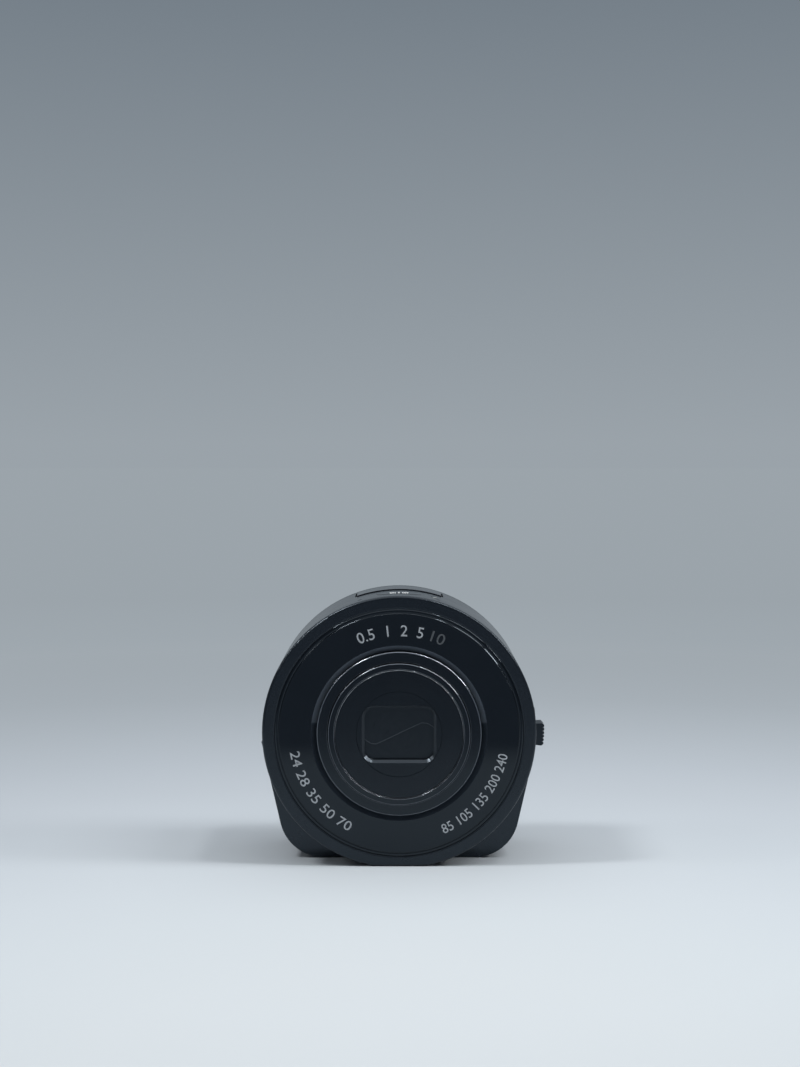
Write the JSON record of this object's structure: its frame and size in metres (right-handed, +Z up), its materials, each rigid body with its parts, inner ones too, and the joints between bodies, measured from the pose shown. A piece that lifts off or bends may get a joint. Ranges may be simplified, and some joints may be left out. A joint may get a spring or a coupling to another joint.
{
  "type": "lens-style camera",
  "caption": "Round black lens-style camera: telescoping zoom barrels with a blade barrier, side zoom lever and shutter button, hinged rear battery door and tripod socket.",
  "frame": {"origin": "middle of the tripod socket's mouth, on the surface the camera stands on", "axes": "+X to the right seen from the front, +Y from the front to the rear along the lens axis, +Z up"},
  "size_m": [0.0654, 0.0334, 0.0619],
  "materials": {
    "casing": "fine satin black moulding",
    "gloss_panel": "high-gloss black",
    "trim_plate": "satin dark grey paint",
    "barrel_metal": "satin black anodising",
    "barrier_metal": "satin black anodising with a fine turned grain",
    "chassis": "bare, die-cast",
    "blade": "satin black",
    "inner_plastic": "black, dull",
    "lens_glass": "coated optical glass",
    "window": "smoked clear window",
    "button": "satin black",
    "lamp": "milky light guide",
    "steel": "bright",
    "screw": "black zinc",
    "board": "green solder mask",
    "chip": "black, dull",
    "sensor": "dark mirror-like",
    "display": "grey-green, off",
    "battery": "aluminium can in a dark grey sleeve",
    "card": "black, dull",
    "contacts": "gold plated"
  },
  "bodies": {
    "camera_body": {"battery": "battery", "battery_contacts": "contacts", "battery_tray": "inner_plastic", "board_chips": "chip", "card_slot": "steel", "case_screws": "screw", "display_panel": "display", "display_window": "window", "filter_frame": "inner_plastic", "fixed_barrel": "inner_plastic", "focus_motor": "steel", "front_panel": "gloss_panel", "front_ring": "casing", "guide_rods": "steel", "hinge_pin": "steel", "image_sensor": "sensor", "infrared_filter": "lens_glass", "lens_plate": "chassis", "main_board": "board", "main_housing": "casing", "memory_card": "card", "microphones": "inner_plastic", "motor_bracket": "steel", "power_lamp": "lamp", "power_switch": "chip", "rear_cover": "casing", "sensor_board": "board", "shutter_switch": "chip", "side_board": "board", "small_screws": "screw", "strap_bar": "steel", "top_board": "board", "top_plate": "trim_plate", "tripod_socket": "steel", "usb_shell": "steel", "usb_tongue": "chip", "zoom_motor": "steel", "zoom_switch": "chip"},
    "outer_barrel": {"outer_barrel": "barrel_metal"},
    "inner_barrel": {"inner_barrel": "barrel_metal", "barrier_cover": "barrier_metal", "barrier_base": "inner_plastic", "front_lens": "lens_glass", "front_lens_holder": "inner_plastic"},
    "upper_blade": {"upper_blade": "blade"},
    "lower_blade": {"lower_blade": "blade"},
    "zoom_group": {"zoom_front_lens": "lens_glass", "zoom_rear_lens": "lens_glass", "zoom_lens_holder": "inner_plastic", "shutter_unit": "inner_plastic"},
    "drive_ring": {"drive_ring": "inner_plastic"},
    "drive_pinion": {"drive_pinion": "steel"},
    "focus_group": {"focus_lens": "lens_glass", "focus_lens_holder": "inner_plastic"},
    "lead_screw": {"lead_screw": "steel"},
    "zoom_lever": {"zoom_lever": "button"},
    "shutter_button": {"shutter_button": "button"},
    "power_button": {"power_button": "button"},
    "battery_cover": {"battery_cover": "casing"}
  },
  "joints": [
    {"name": "barrel_slide", "type": "slide", "parent": "camera_body", "child": "outer_barrel", "axis": [0, -1, 0], "range_m": [0, 0.011]},
    {"name": "inner_barrel_slide", "type": "slide", "parent": "outer_barrel", "child": "inner_barrel", "axis": [0, -1, 0], "range_m": [0, 0.011]},
    {"name": "upper_blade_hinge", "type": "hinge", "parent": "inner_barrel", "child": "upper_blade", "pos_m": [0.0135, -0.01525, 0.0305], "axis": [0, 1, 0], "range_deg": [0, 26.2]},
    {"name": "lower_blade_hinge", "type": "hinge", "parent": "inner_barrel", "child": "lower_blade", "pos_m": [-0.0135, -0.01485, 0.0305], "axis": [0, 1, 0], "range_deg": [0, 26.2]},
    {"name": "zoom_group_slide", "type": "slide", "parent": "outer_barrel", "child": "zoom_group", "axis": [0, -1, 0], "range_m": [0, 0.007]},
    {"name": "drive_ring_spin", "type": "hinge", "parent": "camera_body", "child": "drive_ring", "pos_m": [0, 0.00205, 0.0305], "axis": [0, 1, 0], "range_deg": [0, 120]},
    {"name": "drive_pinion_spin", "type": "hinge", "parent": "camera_body", "child": "drive_pinion", "pos_m": [-0.01754, 0.00205, 0.04804], "axis": [0, 1, 0], "range_deg": [-943, 0]},
    {"name": "focus_slide", "type": "slide", "parent": "camera_body", "child": "focus_group", "axis": [0, -1, 0], "range_m": [0, 0.003]},
    {"name": "lead_screw_spin", "type": "hinge", "parent": "camera_body", "child": "lead_screw", "pos_m": [0, 0, 0.0179], "axis": [0, 1, 0], "range_deg": [0, 720]},
    {"name": "zoom_lever_hinge", "type": "hinge", "parent": "camera_body", "child": "zoom_lever", "pos_m": [0, -0.006, 0.0305], "axis": [0, 1, 0], "range_deg": [-4, 4], "stiffness_Nm_per_rad": 0.25},
    {"name": "shutter_button_slide", "type": "slide", "parent": "camera_body", "child": "shutter_button", "axis": [-1, 0, 0], "range_m": [0, 0.0008], "stiffness_N_per_m": 800},
    {"name": "power_button_slide", "type": "slide", "parent": "camera_body", "child": "power_button", "axis": [0, 0, -1], "range_m": [0, 0.0004], "stiffness_N_per_m": 1200},
    {"name": "battery_cover_hinge", "type": "hinge", "parent": "camera_body", "child": "battery_cover", "pos_m": [-0.0224, 0.01545, 0.0305], "axis": [0, 0, 1], "range_deg": [0, 90]}
  ],
  "couplings": [
    {"joint": "inner_barrel_slide", "follows": "barrel_slide", "ratio": 1},
    {"joint": "upper_blade_hinge", "follows": "barrel_slide", "rad_per_m": 41.57},
    {"joint": "lower_blade_hinge", "follows": "barrel_slide", "rad_per_m": 41.57},
    {"joint": "zoom_group_slide", "follows": "barrel_slide", "ratio": 0.63636},
    {"joint": "drive_ring_spin", "follows": "barrel_slide", "rad_per_m": 190.39},
    {"joint": "drive_pinion_spin", "follows": "barrel_slide", "rad_per_m": -1495.9},
    {"joint": "lead_screw_spin", "follows": "focus_slide", "rad_per_m": 4188}
  ]
}
